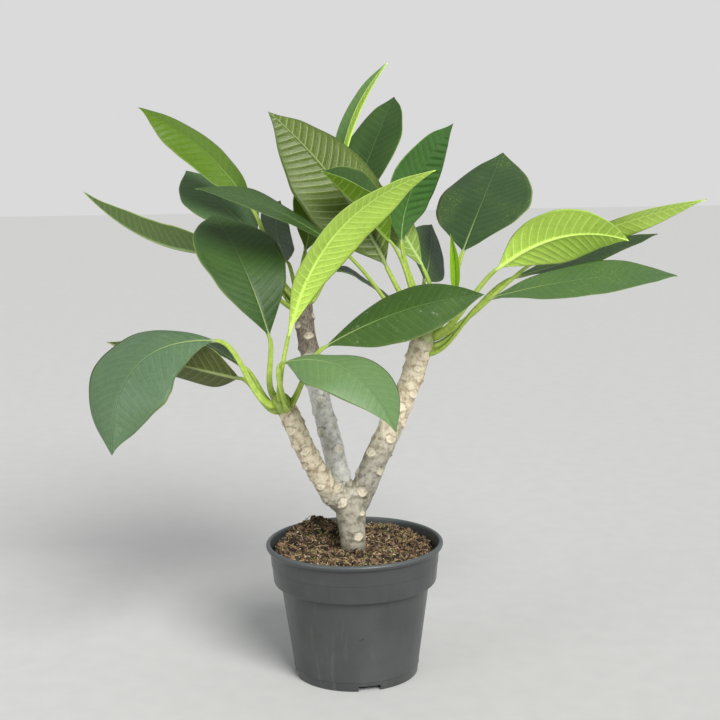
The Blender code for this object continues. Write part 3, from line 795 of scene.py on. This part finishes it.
# Each row: turn (deg) and height (mm) of the foot on the tip; where the blade starts, its middle and its
# point (mm); half width (mm); the way the upper side faces; folds right and left (deg); where each half is
# widest; then the colour above and below, and the swell and the curl of the edges (mm)
LEFT_LEAVES = {
    "leaf_left_1": ((205, 4), (-122, -45, 333), (-191, -80, 317), (-213, -98, 240), 44,
                    (-0.25, -0.7, 0.65), (-7, -7), (0.58, 0.62), (SHEEN_GREY_GREEN, OLIVE, 1.8, -3.0)),
    "leaf_left_2": ((180, -5), (-103, -28, 295), (-161, -18, 308), (-228, -5, 327), 31,
                    (0.3, 0.75, 0.6), (7, 7), (0.35, 0.35), (DARK_GREEN, OLIVE, 1.2, 1.0)),
    "leaf_left_3": ((150, -2), (-100, 0, 300), (-150, 25, 318), (-205, 45, 312), 30,
                    (0.1, 0.2, 1.0), (10, 10), (0.5, 0.5), (MID_GREEN, DULL_GREEN, 1.2, 1.0)),
    "leaf_left_4": ((120, 5), (-75, -25, 332), (-99, -2, 396), (-131, 62, 440), 42,
                    (0.3, -0.65, 0.7), (6, 6), (0.58, 0.62), (DARK_GREEN, DULL_GREEN, 1.4, 0.0)),
    "leaf_left_5": ((300, 7), (-57, -36, 336), (-10, -75, 434), (75, -105, 487), 33,
                    (-0.5, 0.55, 0.7), (-20, -20), (0.55, 0.55), (MID_GREEN, LIME_WITH_PAINTED_GLOW, 1.8, 2.0)),
    "leaf_left_6": ((285, -4), (-61, -55, 314), (-1, -86, 310), (39, -105, 258), 34,
                    (0.2, -0.5, 0.85), (-6, -6), (0.33, 0.66), (SHEEN_LIGHT_GREEN, DULL_GREEN, 1.8, -2.0)),
    "leaf_left_7": ((345, -4), (-24, -40, 325), (48, -46, 358), (122, -42, 371), 32,
                    (-0.25, -0.65, 0.7), (-10, -14), (0.5, 0.6), (MID_GREEN, DULL_GREEN, 2.2, 0.0)),
}


def foot_of(branch, turn, height):
    """Where a stalk sits on its branch tip, the way it leaves, and the tip's own direction, in mm."""
    centre, way, radius = TIPS[branch]
    way = unit(way)
    flat = np.array([math.cos(math.radians(turn)), math.sin(math.radians(turn)), 0.0])
    out = unit(flat - flat.dot(way) * way)
    base = np.array(centre, float) + way * min(height, 0)
    if height > 0:
        out = unit(out * math.sqrt(radius ** 2 - height ** 2) + way * height)
    return base + out * (radius - 1.2), out, way


def leaf_line(branch, foot, start, middle, point):
    """Points down the stalk and the blade in mm, the share of each down the blade, and the first heading."""
    origin, out, way = foot_of(branch, *foot)
    start, middle, point = (np.array(p, float) for p in (start, middle, point))
    bend = 2 * middle - (start + point) / 2
    reach = 0.9 * np.linalg.norm(start - origin)
    leave, arrive = unit(out + 0.5 * way) * reach, unit(bend - start) * reach
    s = np.linspace(0, 1, STALK_ROWS, endpoint=False)[:, None]
    stalk = ((2 * s ** 3 - 3 * s ** 2 + 1) * origin + (s ** 3 - 2 * s ** 2 + s) * leave
             + (3 * s ** 2 - 2 * s ** 3) * start + (s ** 3 - s ** 2) * arrive)
    t = np.linspace(0, 1, BLADE_ROWS)[:, None]
    blade = (1 - t) ** 2 * start + 2 * t * (1 - t) * bend + t ** 2 * point
    return np.vstack([stalk, blade]), np.concatenate([s[:, 0] - 1, t[:, 0]]), out


def half_outline(share, widest):
    """Outline of half a blade: 0 at its start, 1 where it is widest, 0 at its point."""
    rising = (1 - np.clip((widest - share) / widest, 0, 1) ** 2.1) ** 1.25
    fall = np.clip((share - widest) / (1 - widest), 0, 1)
    return np.where(share < widest, rising, (1 - fall ** 1.9) * (1 - 0.3 * smooth(fall, 0.72, 1.0)))


def leaf_mesh(name, branch, foot, start, middle, point, width, facing, folds, widest, look):
    """A closed leaf with its veins raised below and sunk above, and maps of where it is on the blade."""
    swell, curl = look[2:]
    path, share, out = leaf_line(branch, foot, start, middle, point)
    heading = np.gradient(path, axis=0)
    heading[0] = out
    heading /= np.linalg.norm(heading, axis=1)[:, None]
    up = np.array(facing)[None] - (heading @ np.array(facing))[:, None] * heading
    up /= np.linalg.norm(up, axis=1)[:, None]
    side = np.cross(heading, up)
    length = np.linalg.norm(np.diff(path, axis=0), axis=1).cumsum()
    along = np.concatenate([[0], length]) - length[STALK_ROWS - 1]
    columns = np.linspace(-1, 1, 2 * HALF_COLUMNS + 1)
    across = np.sign(columns) * abs(columns) ** 1.5
    lobe = len(name) * 7 + int(name.split("_")[-1]) * 3.1
    on_blade = np.clip(share, 0, 1)
    margin = [np.array([1 + MARGIN_WAVE * noise.noise((s * 7 + lobe, 3.0 * k, 9.0)) for s in on_blade])
              for k in (1, 2)]
    wide = [width * half_outline(on_blade, place) * edge * (share >= 0)
            for place, edge in zip((widest[1], widest[0]), margin)]
    ripple = [np.array([noise.noise((s * 3.2 + lobe, 5.0 * k, 1.0)) for s in on_blade]) for k in (1, 2)]
    grow = smooth(share, -0.02, 0.05)

    u = across[None, :]
    left = u < 0
    reach = np.where(left, wide[0][:, None], wide[1][:, None])
    fold = np.radians(np.where(left, folds[1], folds[0]))
    x = u * reach
    off = abs(x)
    lane = (along[:, None] - VEIN_SLANT * off - VEIN_BEND * off ** 2) / VEIN_SPACING
    lane = lane + np.where(left, 0.0, VEIN_STAGGER)
    furrow = np.cos(2 * math.pi * lane)
    inner = np.clip(off / 5.0, 0, 1) * (1 - abs(u) ** 6) * smooth(reach, 3.0, 12.0)
    swells = swell * np.where(left, ripple[0][:, None], ripple[1][:, None]) * 2.2 * abs(u) ** 2.2
    curled = curl * abs(u) ** 3 * smooth(on_blade, 0.0, 0.3)[:, None]
    sheet = (swells + curled) * smooth(reach, 2.0, 20.0) - PUCKER.get(name, USUAL_PUCKER) * furrow * inner
    sunk_vein = -0.16 * np.exp(-((1 - furrow) / 0.06)) * inner
    thick = BLADE_THICK * (1 - 0.55 * abs(u))
    rib = STALK[2] * (1 - 0.8 * on_blade)[:, None]
    rib_below = rib * 1.1 * np.sqrt(np.clip(1 - (off / (rib * 1.15)) ** 2, 0, 1)) + 0.3 * np.exp(-(off / 4.0))
    groove = -0.55 * np.exp(-(off / 1.3) ** 2) * (1 - 0.5 * on_blade)[:, None]
    upper = sheet + sunk_vein + groove + 0.5 * thick
    lower = sheet - rib_below - 0.5 * thick - 0.3 * np.exp(-((1 - furrow) / 0.09)) * inner

    clasp = np.exp(-(share + 1) / 0.12)
    stalk_wide = (STALK[1] + (STALK[2] - STALK[1]) * np.clip(share + 1, 0, 1) + (STALK[0] - STALK[1]) * clasp)
    turn = across * math.pi / 2
    round_x = stalk_wide[:, None] * np.sin(turn)[None] * 1.05
    round_up = stalk_wide[:, None] * np.cos(turn)[None] * (0.62 - 0.25 * np.cos(turn)[None] ** 6)
    round_low = -stalk_wide[:, None] * np.cos(turn)[None] * 0.95
    g = grow[:, None]
    fold_x = x * np.cos(fold)
    fold_up = off * np.sin(fold)
    x_all = round_x * (1 - g) + fold_x * g
    upper_all = round_up * (1 - g) + (upper + fold_up) * g
    lower_all = round_low * (1 - g) + (lower + fold_up) * g

    def placed(lateral, vertical):
        return (path[:, None] + lateral[..., None] * side[:, None] + vertical[..., None] * up[:, None]) * MM

    top = placed(x_all, upper_all)
    bottom = placed(x_all, lower_all)[:, 1:-1][:, ::-1]
    points = np.concatenate([top, bottom], axis=1)
    rows, sides = points.shape[:2]
    obj = new_piece(name + "_blade", points.reshape(-1, 3), ring_faces(rows, sides))
    mesh = obj.data

    def around(above, below):
        return np.concatenate([above, below[:, 1:-1][:, ::-1]], axis=1).reshape(-1)

    flat = np.broadcast_to(on_blade[:, None] + np.minimum(share, 0)[:, None], x.shape)
    spread = np.broadcast_to(u, x.shape)
    level = np.ones_like(x)
    level[:, 0] = level[:, -1] = 0.5
    maps = {"across": (spread, spread), "down_blade": (flat, flat), "off_midrib": (off * g, off * g),
            "vein_lane": (lane, lane), "upper": (level, 0 * level)}
    for label, (above, below) in maps.items():
        store(mesh, label, around(above, below))
    return obj


def leaf_pattern():
    """Node group: the colour, roughness and relief of a leaf from its two colours and its veins."""
    tree = bpy.data.node_groups.new("leaf pattern", "ShaderNodeTree")
    for label, kind, value in (("Above", "Color", (*MID_GREEN, 1)), ("Below", "Color", (*DULL_GREEN, 1)),
                               ("Marks", "Float", 0.0), ("Freckles", "Float", 0.0), ("Shine", "Float", 0.0),
                               ("Veins below", "Float", 1.0)):
        socket = tree.interface.new_socket(label, in_out="INPUT", socket_type=f"NodeSocket{kind}")
        socket.default_value = value
    for label, kind in (("Colour", "Color"), ("Roughness", "Float"), ("Relief", "Float")):
        tree.interface.new_socket(label, in_out="OUTPUT", socket_type=f"NodeSocket{kind}")
    given = add(tree, "NodeGroupInput").outputs
    place = object_place(tree)

    def share_of(*values):
        return times(tree, *values)

    def within(*values):
        return band(tree, *values)

    def paler(colour, gain, tint):
        """The colour made brighter or darker by the gain, with a third of the tint in it."""
        lit = blend_colours(tree, 1.0, colour, (gain, gain, gain), blend_type="MULTIPLY", clamp_result=False)
        return blend_colours(tree, 0.35, lit, tint)

    lane, off = mask(tree, "vein_lane"), mask(tree, "off_midrib")
    down, upper = mask(tree, "down_blade"), mask(tree, "upper")
    edge = math_node(tree, "ABSOLUTE", mask(tree, "across"))
    # a side vein lies where the lane is a whole number, and a finer one halfway to the next
    to_minor = math_node(tree, "SUBTRACT", math_node(tree, "FRACT", lane), 0.5)
    to_minor = math_node(tree, "ABSOLUTE", to_minor)
    from_vein = math_node(tree, "SUBTRACT", 0.5, to_minor)
    blade = within(down, 0.0, 0.04)
    fade = share_of(within(edge, 0.96, 0.7), blade)
    vein = share_of(within(from_vein, 0.075, 0.02), fade)
    minor = share_of(within(to_minor, 0.045, 0.01), fade)
    halo = share_of(within(from_vein, 0.32, 0.03), fade)
    along_rib = math_node(tree, "DIVIDE", off, within(down, 0.0, 1.0, 1.9, 0.5))
    midrib = within(along_rib, 1.15, 0.8)
    border = within(edge, 0.966, 0.985)
    inner_line = share_of(within(edge, 0.89, 0.92), within(edge, 0.95, 0.925))
    net = cell_edges(tree, place, 430.0)
    net_line = share_of(within(net, 0.1, 0.02), blade)
    cloud = noise_at(tree, place, 24.0, 4.0, 0.6)
    mottle = noise_at(tree, place, 240.0, 5.0, 0.65)
    speck = noise_at(tree, place, 900.0, 3.0, 0.6)
    water = noise_at(tree, place, 85.0, 8.0, 0.78)
    freckle = share_of(within(noise_at(tree, place, 520.0, 2.0), 0.62, 0.67),
                       share_of(within(cloud, 0.47, 0.56), given["Freckles"]))
    rust = share_of(within(noise_at(tree, place, 420.0, 2.0), 0.63, 0.68),
                    share_of(within(down, 0.5, 0.2), given["Freckles"]))

    base = given["Above"]
    pale_above = paler(base, 1.7, (0.3, 0.42, 0.15))
    rib_line = blend_colours(tree, within(down, 0.0, 0.5), (0.42, 0.54, 0.2), pale_above)
    above = layered(tree, base,
                    (within(cloud, 0.35, 0.65, 0.0, 0.4), paler(base, 1.25, (0.12, 0.22, 0.04))),
                    (within(mottle, 0.3, 0.62, 0.2, 0.0), paler(base, 0.75, (0.02, 0.05, 0.012))),
                    (share_of(halo, 0.04), pale_above),
                    (share_of(vein, 0.15), pale_above),
                    (share_of(minor, 0.05), pale_above),
                    (share_of(net_line, 0.08), pale_above),
                    (within(off, 1.5, 0.5, 0.0, 0.5), (0.025, 0.065, 0.015)),
                    (share_of(within(along_rib, 0.5, 0.22), 0.75), rib_line),
                    (share_of(within(water, 0.59, 0.65), given["Marks"]), (0.42, 0.5, 0.36)),
                    (freckle, (0.34, 0.42, 0.08)))

    base = given["Below"]
    pale_below = paler(base, 1.7, (0.62, 0.72, 0.38))
    below = layered(tree, base,
                    (within(cloud, 0.35, 0.65, 0.0, 0.35), paler(base, 0.85, (0.22, 0.36, 0.03))),
                    (within(mottle, 0.3, 0.6, 0.16, 0.0), (0.07, 0.13, 0.02)),
                    (share_of(halo, 0.12), pale_below),
                    (share_of(share_of(vein, 0.85), given["Veins below"]), pale_below),
                    (share_of(share_of(minor, 0.2), given["Veins below"]), pale_below),
                    (share_of(net_line, 0.2), pale_below),
                    (share_of(midrib, 0.85), pale_below),
                    (rust, (0.42, 0.3, 0.08)))

    stalk = layered(tree, (0.3, 0.44, 0.06),
                    (within(mottle, 0.35, 0.65), (0.42, 0.55, 0.1)),
                    (within(speck, 0.6, 0.72, 0.0, 0.35), (0.58, 0.62, 0.25)))
    shade = layered(tree, below,
                    (upper, above),
                    (share_of(inner_line, 0.16), pale_above),
                    (share_of(border, 0.65), (0.42, 0.53, 0.17)),
                    (within(down, 0.03, -0.03), stalk))
    gloss = math_node(tree, "ADD", within(upper, 0.0, 1.0, 0.52, 0.4), within(mottle, 0.3, 0.7, -0.05, 0.08))
    gloss = math_node(tree, "SUBTRACT", gloss, given["Shine"])
    rough = math_node(tree, "ADD", mottle, share_of(speck, 0.4))
    relief = math_node(tree, "ADD", share_of(net_line, -0.6), rough)
    add(tree, "NodeGroupOutput", {"Colour": shade, "Roughness": gloss, "Relief": relief})
    return tree


LEAF_PATTERN = leaf_pattern()
WATER_MARKED = {"leaf_middle_3": 0.5, "leaf_left_7": 0.35, "leaf_left_2": 0.2, "leaf_left_1": 0.12}
FRECKLED = {"leaf_right_8": 0.5, "leaf_right_12": 0.4, "leaf_left_5": 0.6}
FAINT_VEINS = {"leaf_middle_3": 0.2, "leaf_left_2": 0.35, "leaf_left_3": 0.4}
SHINY = {"leaf_right_3": 0.2, "leaf_right_1": 0.18, "leaf_left_1": 0.1, "leaf_middle_1": 0.1,
         "leaf_middle_4": 0.1}


def leaf_skin(name, above, below):
    material, tree = new_material(name.replace("_", " ") + " skin")
    pattern = add(tree, "ShaderNodeGroup", node_tree=LEAF_PATTERN)
    chosen = {"Above": (*above, 1), "Below": (*below, 1), "Marks": WATER_MARKED.get(name, 0.0),
              "Freckles": FRECKLED.get(name, 0.0), "Shine": SHINY.get(name, 0.0),
              "Veins below": FAINT_VEINS.get(name, 1.0)}
    for label, value in chosen.items():
        pattern.inputs[label].default_value = value
    finish_material(tree, Base_Color=pattern.outputs["Colour"], Roughness=pattern.outputs["Roughness"],
                    Specular_IOR_Level=0.38, Normal=bumped(tree, pattern.outputs["Relief"], 0.4, 0.0003))
    return material


def hang_leaves(branch, rows):
    for name, row in rows.items():
        leaf = leaf_mesh(name, branch, *row)
        above, below = row[-1][:2]
        leaf.data.materials.append(leaf_skin(name, above, below))
        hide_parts(name)
        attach(leaf, "root")


hang_leaves("left", LEFT_LEAVES)


# ---- Leaves of the middle branch ----
# The tallest crown, set back behind the others. Its newest leaf, at the left, is still soft and yellow-green,
# and the tall narrow one is folded along its midrib.

MIDDLE_LEAVES = {
    "leaf_middle_1": ((165, 4), (-93, 50, 446), (-141, 62, 503), (-201, 70, 543), 27,
                      (0.5, -0.55, 0.67), (-12, -12), (0.4, 0.5), (YOUNG_GREEN, PALE_GREEN, 1.6, 0.0)),
    "leaf_middle_2": ((148, -5), (-89, 60, 418), (-128, 95, 449), (-164, 130, 479), 36,
                      (0.2, -0.5, 0.85), (4, 4), (0.5, 0.55), (SHEEN_GREEN, DULL_GREEN, 2.2, -2.0)),
    "leaf_middle_3": ((182, -8), (-120, 75, 402), (-196, 95, 413), (-263, 105, 461), 28,
                      (0.4, 0.2, 0.9), (40, 40), (0.35, 0.35), (DULL_GREEN, DULL_GREEN, 1.2, 0.0)),
    "leaf_middle_4": ((0, 7), (-16, 47, 424), (1, 55, 511), (38, 63, 581), 21,
                      (-0.92, -0.24, 0.31), (23, 23), (0.55, 0.55), (FRESH_GREEN, LIME_WITH_PAINTED_GLOW, 0.8, 0.0)),
    "leaf_middle_5": ((50, 4), (-10, 56, 419), (23, 88, 498), (46, 120, 549), 33,
                      (-0.55, -0.62, 0.55), (4, 4), (0.5, 0.5), (DARK_GREEN, DULL_GREEN, 1.2, 0.0)),
    "leaf_middle_6": ((90, 7), (-43, 54, 403), (-34, 68, 448), (-27, 74, 500), 25,
                      (0.65, -0.75, 0.0), (-5, -5), (0.5, 0.5), (YOUNG_GREEN, PALE_GREEN, 1.2, 0.0)),
    "leaf_middle_7": ((112, 2), (-60, 55, 393), (-72, 92, 419), (-70, 138, 447), 24,
                      (0.75, -0.3, 0.6), (0, 0), (0.5, 0.5), (DEEP_GREEN, DULL_GREEN, 1.2, 0.0)),
    "leaf_middle_8": ((10, -4), (-14, 45, 386), (15, 50, 374), (62, 52, 333), 26,
                      (0.55, 0.0, 0.8), (0, 0), (0.5, 0.5), (DEEP_GREEN, DULL_GREEN, 1.2, 0.0)),
}
hang_leaves("middle", MIDDLE_LEAVES)


# ---- Leaves of the right branch ----
# The fullest crown, leaning out to the right: dark old leaves low down, bright younger ones above, and one
# new leaf still rolled into a spear.

RIGHT_LEAVES = {
    "leaf_right_1": ((165, 5), (34, 12, 392), (-12, 15, 470), (-73, 8, 537), 42,
                     (-0.4, 0.87, -0.28), (7, 7), (0.45, 0.4), (MID_GREEN, MOSSY_GREEN, 2.0, 0.0)),
    "leaf_right_2": ((215, 6), (38, 2, 417), (7, -20, 453), (-23, -45, 485), 32,
                     (0.78, -0.1, 0.62), (45, 45), (0.5, 0.5), (DARK_GREEN, SUNLIT_GREEN, 1.2, 0.0)),
    "leaf_right_3": ((120, 8), (49, 14, 414), (61, 25, 466), (100, 45, 523), 30,
                     (0.68, -0.72, -0.12), (-3, -3), (0.55, 0.5), (GLOSSY_GREEN, DULL_GREEN, 1.4, 0.0)),
    "leaf_right_4": ((190, -2), (-11, -12, 414), (-79, -15, 454), (-140, -10, 469), 30,
                     (0.38, -0.2, 0.9), (1, 1), (0.5, 0.5), (MID_GREEN, DULL_GREEN, 1.4, 0.0)),
    "leaf_right_5": ((60, 8), (69, 29, 388), (44, 43, 432), (22, 48, 472), 24,
                     (-0.65, 0.6, -0.45), (0, 0), (0.5, 0.5), (MID_GREEN, SOFT_GREEN, 1.8, 0.0)),
    "leaf_right_6": ((95, 0), (71, 36, 374), (79, 78, 397), (83, 130, 421), 27,
                     (0.76, -0.34, 0.56), (-8, -8), (0.5, 0.5), (DEEP_GREEN, DULL_GREEN, 1.2, 0.0)),
    "leaf_right_7": ((320, 10), (97, -4, 361), (97, -6, 394), (93, -10, 424), 6,
                     (0.0, -1.0, 0.0), (40, 40), (0.4, 0.4), (SUNLIT_GREEN, SUNLIT_GREEN, 0.2, 0.0)),
    "leaf_right_8": ((45, 3), (106, 15, 404), (128, 60, 447), (155, 130, 492), 48,
                     (-0.25, -0.5, 0.83), (-4, -4), (0.52, 0.55), (DEEP_GREEN, DULL_GREEN, 3.0, 0.0)),
    "leaf_right_9": ((335, 4), (136, -8, 390), (194, -26, 421), (252, -42, 418), 32,
                     (0.1, 0.8, 0.6), (2, 2), (0.5, 0.45), (MID_GREEN, LIME, 1.4, 0.0)),
    "leaf_right_10": ((10, 3), (178, 8, 398), (244, 0, 428), (327, -15, 452), 27,
                      (-0.2, 0.5, 0.85), (-12, -12), (0.5, 0.5), (MID_GREEN, LIME_WITH_PAINTED_GLOW, 1.2, 0.0)),
    "leaf_right_11": ((20, -6), (157, 30, 378), (226, 28, 397), (290, 20, 418), 30,
                      (-0.3, -0.2, 0.95), (4, 4), (0.5, 0.5), (DARK_GREEN, DULL_GREEN, 1.2, 0.0)),
    "leaf_right_12": ((345, -12), (129, -22, 365), (212, -45, 384), (294, -55, 387), 32,
                      (-0.2, -0.35, 0.92), (0, 0), (0.5, 0.5), (SHEEN_GREEN, DULL_GREEN, 2.2, 0.0)),
}
hang_leaves("right", RIGHT_LEAVES)


# ---- Where it stands ----
# A pale floor under a wide soft sun from the front right, a fainter large light on the left, and a pale sky
# all round. The camera looks a little down on the plant from the front.

FLOOR_SIZE = 12.0        # m
FLOOR_DROP = 0.0004      # m, so that it never meets the pot's foot
CAMERA_PLACE = (0.008, -1.4, 0.549)          # m
CAMERA_PITCH, CAMERA_ROLL = -9.88, -0.92     # degrees
CAMERA_LENS, CAMERA_FILM = 75.47, 36         # mm


def make_floor():
    material, tree = new_material("pale floor")
    cloud = noise_at(tree, object_place(tree), 40.0)
    shade = blend_colours(tree, band(tree, cloud, 0.3, 0.7), (0.64, 0.64, 0.63), (0.66, 0.66, 0.65))
    finish_material(tree, Base_Color=shade, Roughness=band(tree, cloud, 0.3, 0.7, 0.75, 0.85))
    half = FLOOR_SIZE / 2
    corners = [(x * half, y * half, -FLOOR_DROP) for x, y in ((-1, -1), (1, -1), (1, 1), (-1, 1))]
    floor = new_piece("floor", corners, [(0, 1, 2, 3)])
    floor.data.materials.append(material)


def shine(kind, name, place, target, power, colour, **settings):
    """A light that shines from the place towards the target."""
    light = bpy.data.lights.new(name, kind)
    light.energy = power
    light.color = colour
    for label, value in settings.items():
        setattr(light, label, value)
    obj = new_object(name, light)
    obj.location = place
    x, y, z = np.array(place) - np.array(target)
    obj.rotation_euler = (math.atan2(math.hypot(x, y), z), 0, math.atan2(y, x) + math.pi / 2)


def make_room():
    """A pale room: bright behind the plant, and softer as a light on it."""
    world = bpy.data.worlds.new("pale room")
    world.use_nodes = True
    tree = world.node_tree
    tree.nodes.clear()
    seen = add(tree, "ShaderNodeLightPath").outputs["Is Camera Ray"]
    shade = blend_colours(tree, seen, (0.36, 0.37, 0.38), (0.7, 0.7, 0.7))
    glow = add(tree, "ShaderNodeBackground", {"Color": shade}).outputs[0]
    add(tree, "ShaderNodeOutputWorld", {"Surface": glow})
    bpy.context.scene.world = world


def make_camera():
    camera = bpy.data.cameras.new("camera")
    camera.lens = CAMERA_LENS
    camera.sensor_width = CAMERA_FILM
    obj = new_object("camera", camera)
    tilt, roll = math.radians(90 + CAMERA_PITCH), math.radians(CAMERA_ROLL)
    obj.matrix_world = (Matrix.Translation(CAMERA_PLACE) @ Matrix.Rotation(tilt, 4, "X")
                        @ Matrix.Rotation(roll, 4, "Z"))
    bpy.context.scene.camera = obj


make_floor()
shine("SUN", "key", (0.5, -1.0, 0.85), (0, 0, 0), 3.3, (1.0, 0.985, 0.96), angle=math.radians(30))
shine("AREA", "side", (-1.6, -1.3, 1.0), (0, 0, 0.32), 7, (1, 1, 1), size=0.9)
make_room()
bpy.context.scene.view_settings.view_transform = "Standard"
make_camera()
